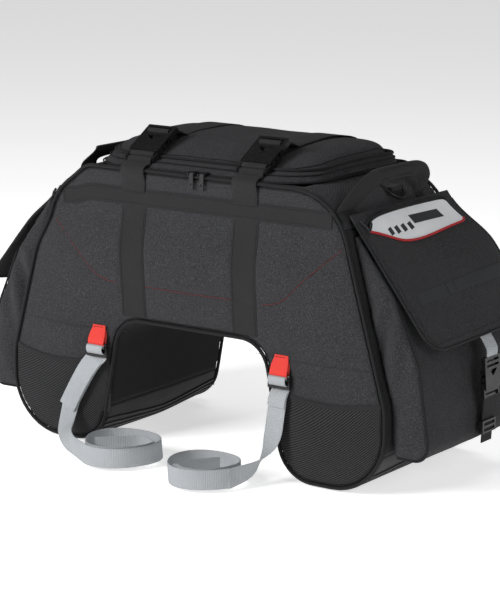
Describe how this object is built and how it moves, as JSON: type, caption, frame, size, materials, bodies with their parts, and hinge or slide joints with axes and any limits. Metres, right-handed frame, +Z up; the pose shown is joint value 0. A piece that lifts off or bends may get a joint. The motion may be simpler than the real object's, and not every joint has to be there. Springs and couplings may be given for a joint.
{
  "type": "motorcycle tail bag",
  "caption": "Saddle-shaped soft motorcycle tail bag that straddles the seat, with a zipped domed lid, compression straps with side-release buckles, flap pockets and mounting straps.",
  "frame": {"origin": "middle of the underside of the seat arch, on the plane that rests on the motorcycle's seat", "axes": "+X across the motorcycle, +Y towards its tail, +Z up; the bag's front face, with the coiled straps, looks towards -Y"},
  "size_m": [0.7146, 0.3732, 0.4108],
  "materials": {
    "shell_fabric": "heavy coated polyester weave, matt",
    "side_fabric": "heavy coated polyester weave, matt, a shade darker",
    "tread_fabric": "moulded wear panel with a fine tread, satin",
    "grip_fabric": "non-slip coated fabric, matt",
    "webbing": "twill polyester webbing, matt",
    "grey_webbing": "ribbed polyester webbing, slight sheen",
    "red_webbing": "plain polyester webbing",
    "piping": "corded piping, matt",
    "mesh": "open knitted mesh",
    "zip_tape": "woven tape and coil",
    "reflective": "smooth reflective sheet, satin",
    "buckle_plastic": "moulded acetal, semi-gloss",
    "ring_metal": "black coated wire, satin",
    "slider_metal": "black coated casting, satin",
    "pull_rubber": "moulded rubber, matt",
    "foam": "closed-cell foam, matt",
    "board": "polypropylene sheet, matt",
    "lining_fabric": "light ripstop lining, slight sheen"
  },
  "bodies": {
    "bag": {"front_panel": "shell_fabric", "rear_panel": "shell_fabric", "panel_stiffeners": "foam", "top_deck": "shell_fabric", "side_panels": "side_fabric", "tunnel_panel": "grip_fabric", "tread_panels": "tread_fabric", "lining": "lining_fabric", "base_board": "board", "panel_piping": "piping", "cross_bands": "webbing", "front_webbing": "webbing", "rear_webbing": "webbing", "mesh_pockets": "mesh", "anchor_tabs": "red_webbing", "deck_zip_tape": "zip_tape", "strap_adjusters": "buckle_plastic", "d_ring_loops": "webbing", "side_pockets": "shell_fabric", "pocket_straps": "webbing", "pocket_sockets": "buckle_plastic", "pocket_triglides": "buckle_plastic"},
    "lid": {"lid_panel": "shell_fabric", "lid_rim": "shell_fabric", "lid_foam": "foam", "lid_piping": "piping", "lid_zip_tape": "zip_tape", "top_straps": "webbing", "top_housings": "buckle_plastic", "top_plugs": "buckle_plastic"},
    "latch_arm_left_outer": {"latch_arm_left_outer": "buckle_plastic"},
    "latch_arm_left_inner": {"latch_arm_left_inner": "buckle_plastic"},
    "latch_arm_right_inner": {"latch_arm_right_inner": "buckle_plastic"},
    "latch_arm_right_outer": {"latch_arm_right_outer": "buckle_plastic"},
    "zip_slider_left": {"zip_slider_left": "slider_metal"},
    "zip_slider_right": {"zip_slider_right": "slider_metal"},
    "zip_pull_left": {"zip_pull_left": "pull_rubber"},
    "zip_pull_right": {"zip_pull_right": "pull_rubber"},
    "handle_left": {"handle_left": "webbing"},
    "handle_right": {"handle_right": "webbing"},
    "d_ring_left": {"d_ring_left": "ring_metal"},
    "d_ring_right": {"d_ring_right": "ring_metal"},
    "pocket_arm_left_front": {"pocket_arm_left_front": "buckle_plastic"},
    "pocket_arm_left_rear": {"pocket_arm_left_rear": "buckle_plastic"},
    "pocket_arm_right_front": {"pocket_arm_right_front": "buckle_plastic"},
    "pocket_arm_right_rear": {"pocket_arm_right_rear": "buckle_plastic"},
    "pocket_flap_left": {"flap_left": "shell_fabric", "flap_window_left": "reflective", "flap_loop_left": "grey_webbing", "pocket_plug_left": "buckle_plastic"},
    "front_strap_left": {"ladder_lock_left": "buckle_plastic", "mount_strap_left": "grey_webbing"},
    "pocket_flap_right": {"flap_right": "shell_fabric", "flap_window_right": "reflective", "flap_loop_right": "grey_webbing", "pocket_plug_right": "buckle_plastic"},
    "front_strap_right": {"ladder_lock_right": "buckle_plastic", "mount_strap_right": "grey_webbing"},
    "rear_straps": {"rear_ladder_locks": "buckle_plastic", "rear_mount_straps": "grey_webbing"}
  },
  "joints": [
    {"name": "lid_hinge", "type": "hinge", "parent": "bag", "child": "lid", "pos_m": [0, 0.118, 0.197], "axis": [-1, 0, 0], "range_deg": [0, 105]},
    {"name": "latch_left_outer_pinch", "type": "slide", "parent": "lid", "child": "latch_arm_left_outer", "axis": [1, 0, 0], "range_m": [0, 0.0025]},
    {"name": "latch_left_inner_pinch", "type": "slide", "parent": "lid", "child": "latch_arm_left_inner", "axis": [-1, 0, 0], "range_m": [0, 0.0025]},
    {"name": "latch_right_outer_pinch", "type": "slide", "parent": "lid", "child": "latch_arm_right_outer", "axis": [-1, 0, 0], "range_m": [0, 0.0025]},
    {"name": "latch_right_inner_pinch", "type": "slide", "parent": "lid", "child": "latch_arm_right_inner", "axis": [1, 0, 0], "range_m": [0, 0.0025]},
    {"name": "zip_left_slide", "type": "slide", "parent": "bag", "child": "zip_slider_left", "axis": [-1, 0, 0], "range_m": [0, 0.06]},
    {"name": "zip_pull_left_swing", "type": "hinge", "parent": "zip_slider_left", "child": "zip_pull_left", "pos_m": [0.006, -0.129, 0.198], "axis": [-1, 0, 0], "range_deg": [0, 110]},
    {"name": "zip_right_slide", "type": "slide", "parent": "bag", "child": "zip_slider_right", "axis": [1, 0, 0], "range_m": [0, 0.036]},
    {"name": "zip_pull_right_swing", "type": "hinge", "parent": "zip_slider_right", "child": "zip_pull_right", "pos_m": [0.022, -0.129, 0.198], "axis": [-1, 0, 0], "range_deg": [0, 110]},
    {"name": "handle_left_swing", "type": "hinge", "parent": "bag", "child": "handle_left", "pos_m": [-0.21507, 0, 0.17058], "axis": [0, 1, 0], "range_deg": [-25, 40]},
    {"name": "d_ring_left_swing", "type": "hinge", "parent": "bag", "child": "d_ring_left", "pos_m": [-0.2101, 0.015, 0.18011], "axis": [0, 1, 0], "range_deg": [0, 55]},
    {"name": "handle_right_swing", "type": "hinge", "parent": "bag", "child": "handle_right", "pos_m": [0.21507, 0, 0.17058], "axis": [0, -1, 0], "range_deg": [-25, 40]},
    {"name": "d_ring_right_swing", "type": "hinge", "parent": "bag", "child": "d_ring_right", "pos_m": [0.2101, 0.015, 0.18011], "axis": [0, -1, 0], "range_deg": [0, 55]},
    {"name": "flap_left_hinge", "type": "hinge", "parent": "bag", "child": "pocket_flap_left", "pos_m": [-0.22769, 0, 0.16008], "axis": [0, 1, 0], "range_deg": [0, 105]},
    {"name": "pocket_left_rear_pinch", "type": "slide", "parent": "pocket_flap_left", "child": "pocket_arm_left_rear", "axis": [0, -1, 0], "range_m": [0, 0.00175]},
    {"name": "pocket_left_front_pinch", "type": "slide", "parent": "pocket_flap_left", "child": "pocket_arm_left_front", "axis": [0, 1, 0], "range_m": [0, 0.00175]},
    {"name": "flap_right_hinge", "type": "hinge", "parent": "bag", "child": "pocket_flap_right", "pos_m": [0.22769, 0, 0.16008], "axis": [0, -1, 0], "range_deg": [0, 105]},
    {"name": "pocket_right_rear_pinch", "type": "slide", "parent": "pocket_flap_right", "child": "pocket_arm_right_rear", "axis": [0, -1, 0], "range_m": [0, 0.00175]},
    {"name": "pocket_right_front_pinch", "type": "slide", "parent": "pocket_flap_right", "child": "pocket_arm_right_front", "axis": [0, 1, 0], "range_m": [0, 0.00175]},
    {"name": "front_strap_left_swing", "type": "hinge", "parent": "bag", "child": "front_strap_left", "pos_m": [-0.142, -0.134, -0.036], "axis": [-1, 0, 0], "range_deg": [0, 60]},
    {"name": "front_strap_right_swing", "type": "hinge", "parent": "bag", "child": "front_strap_right", "pos_m": [0.142, -0.134, -0.036], "axis": [-1, 0, 0], "range_deg": [0, 60]},
    {"name": "rear_straps_swing", "type": "hinge", "parent": "bag", "child": "rear_straps", "pos_m": [0, 0.134, -0.036], "axis": [1, 0, 0], "range_deg": [0, 60]}
  ],
  "couplings": [
    {"joint": "latch_left_inner_pinch", "follows": "latch_left_outer_pinch", "ratio": 1},
    {"joint": "latch_right_inner_pinch", "follows": "latch_right_outer_pinch", "ratio": 1},
    {"joint": "pocket_left_rear_pinch", "follows": "pocket_left_front_pinch", "ratio": 1},
    {"joint": "pocket_right_rear_pinch", "follows": "pocket_right_front_pinch", "ratio": 1}
  ]
}
